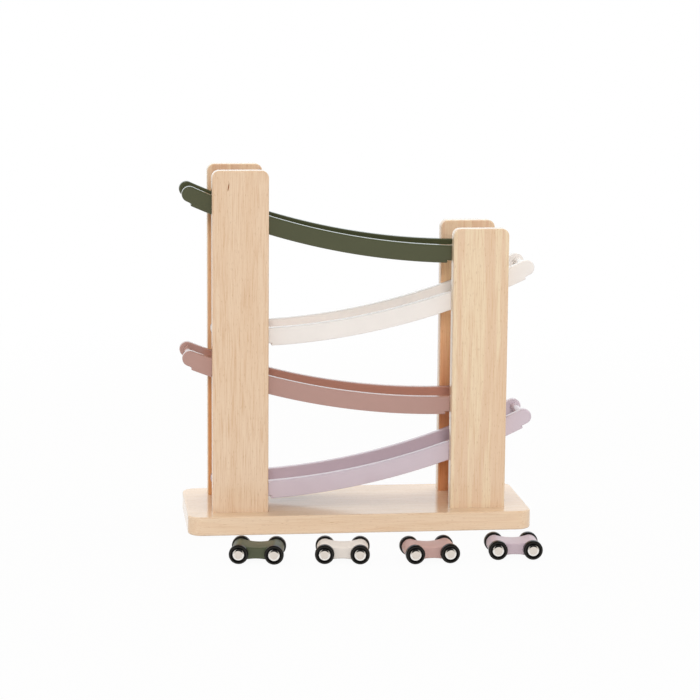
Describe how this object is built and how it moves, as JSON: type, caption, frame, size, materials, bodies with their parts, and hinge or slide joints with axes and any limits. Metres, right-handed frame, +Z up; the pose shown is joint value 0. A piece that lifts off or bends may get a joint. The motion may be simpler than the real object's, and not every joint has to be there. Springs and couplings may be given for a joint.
{
  "type": "click clack track toy",
  "caption": "Wooden zigzag track: curved painted ramps between upright posts on a base board, with small wheeled cars that run down and drop from ramp to ramp.",
  "frame": {"origin": "centre of the base board's underside, on the floor", "axes": "+X to the right along the base board, +Y to the back, +Z up; the cars stand in front, at -Y"},
  "size_m": [0.3168, 0.2358, 0.3234],
  "materials": {
    "beech": "clear satin lacquer on pale beech",
    "green_paint": "satin dark olive green paint",
    "cream_paint": "satin cream paint",
    "terracotta_paint": "satin dusty terracotta paint",
    "lilac_paint": "satin pale lilac paint",
    "black_wheel": "satin black moulded plastic",
    "chrome_cap": "polished",
    "axle_steel": "drawn steel rod",
    "screws": "zinc plated"
  },
  "bodies": {
    "stand": {"base_board": "beech", "base_screws": "screws", "rail_dowels": "beech", "front_left_post": "beech", "back_left_post": "beech", "front_right_post": "beech", "back_right_post": "beech", "green_floor": "green_paint", "green_front_rail": "green_paint", "green_back_rail": "green_paint", "green_stop_dowel": "green_paint", "cream_floor": "cream_paint", "cream_front_rail": "cream_paint", "cream_back_rail": "cream_paint", "cream_stop_dowel": "cream_paint", "terracotta_floor": "terracotta_paint", "terracotta_front_rail": "terracotta_paint", "terracotta_back_rail": "terracotta_paint", "terracotta_stop_dowel": "terracotta_paint", "lilac_floor": "lilac_paint", "lilac_front_rail": "lilac_paint", "lilac_back_rail": "lilac_paint", "lilac_stop_dowel": "lilac_paint"},
    "green_car": {"green_car_body": "green_paint"},
    "green_front_wheels": {"green_front_axle": "axle_steel", "green_front_left_wheel": "black_wheel", "green_front_right_wheel": "black_wheel", "green_front_hub_caps": "chrome_cap"},
    "green_rear_wheels": {"green_rear_axle": "axle_steel", "green_rear_left_wheel": "black_wheel", "green_rear_right_wheel": "black_wheel", "green_rear_hub_caps": "chrome_cap"},
    "cream_car": {"cream_car_body": "cream_paint"},
    "cream_front_wheels": {"cream_front_axle": "axle_steel", "cream_front_left_wheel": "black_wheel", "cream_front_right_wheel": "black_wheel", "cream_front_hub_caps": "chrome_cap"},
    "cream_rear_wheels": {"cream_rear_axle": "axle_steel", "cream_rear_left_wheel": "black_wheel", "cream_rear_right_wheel": "black_wheel", "cream_rear_hub_caps": "chrome_cap"},
    "terracotta_car": {"terracotta_car_body": "terracotta_paint"},
    "terracotta_front_wheels": {"terracotta_front_axle": "axle_steel", "terracotta_front_left_wheel": "black_wheel", "terracotta_front_right_wheel": "black_wheel", "terracotta_front_hub_caps": "chrome_cap"},
    "terracotta_rear_wheels": {"terracotta_rear_axle": "axle_steel", "terracotta_rear_left_wheel": "black_wheel", "terracotta_rear_right_wheel": "black_wheel", "terracotta_rear_hub_caps": "chrome_cap"},
    "lilac_car": {"lilac_car_body": "lilac_paint"},
    "lilac_front_wheels": {"lilac_front_axle": "axle_steel", "lilac_front_left_wheel": "black_wheel", "lilac_front_right_wheel": "black_wheel", "lilac_front_hub_caps": "chrome_cap"},
    "lilac_rear_wheels": {"lilac_rear_axle": "axle_steel", "lilac_rear_left_wheel": "black_wheel", "lilac_rear_right_wheel": "black_wheel", "lilac_rear_hub_caps": "chrome_cap"}
  },
  "joints": [
    {"name": "green_car_roll", "type": "slide", "parent": "stand", "child": "green_car", "axis": [0.9877, -0.1564, 0], "range_m": [-0.06, 0.011]},
    {"name": "green_front_spin", "type": "hinge", "parent": "green_car", "child": "green_front_wheels", "pos_m": [-0.08553, -0.14723, 0.00825], "axis": [0.1564, 0.9877, 0], "continuous": true},
    {"name": "green_rear_spin", "type": "hinge", "parent": "green_car", "child": "green_rear_wheels", "pos_m": [-0.11535, -0.14251, 0.00825], "axis": [0.1564, 0.9877, 0], "continuous": true},
    {"name": "cream_car_roll", "type": "slide", "parent": "stand", "child": "cream_car", "axis": [0.9925, -0.1219, 0], "range_m": [-0.011, 0.011]},
    {"name": "cream_front_spin", "type": "hinge", "parent": "cream_car", "child": "cream_front_wheels", "pos_m": [-0.01322, -0.15274, 0.00825], "axis": [0.1219, 0.9925, 0], "continuous": true},
    {"name": "cream_rear_spin", "type": "hinge", "parent": "cream_car", "child": "cream_rear_wheels", "pos_m": [-0.0432, -0.14906, 0.00825], "axis": [0.1219, 0.9925, 0], "continuous": true},
    {"name": "terracotta_car_roll", "type": "slide", "parent": "stand", "child": "terracotta_car", "axis": [0.9994, 0.0349, 0], "range_m": [-0.011, 0.011]},
    {"name": "terracotta_front_spin", "type": "hinge", "parent": "terracotta_car", "child": "terracotta_front_wheels", "pos_m": [0.06128, -0.15559, 0.00825], "axis": [-0.0349, 0.9994, 0], "continuous": true},
    {"name": "terracotta_rear_spin", "type": "hinge", "parent": "terracotta_car", "child": "terracotta_rear_wheels", "pos_m": [0.0311, -0.15665, 0.00825], "axis": [-0.0349, 0.9994, 0], "continuous": true},
    {"name": "lilac_car_roll", "type": "slide", "parent": "stand", "child": "lilac_car", "axis": [0.9986, -0.0523, 0], "range_m": [-0.011, 0.06]},
    {"name": "lilac_front_spin", "type": "hinge", "parent": "lilac_car", "child": "lilac_front_wheels", "pos_m": [0.13536, -0.15025, 0.00825], "axis": [0.0523, 0.9986, 0], "continuous": true},
    {"name": "lilac_rear_spin", "type": "hinge", "parent": "lilac_car", "child": "lilac_rear_wheels", "pos_m": [0.1052, -0.14867, 0.00825], "axis": [0.0523, 0.9986, 0], "continuous": true}
  ]
}
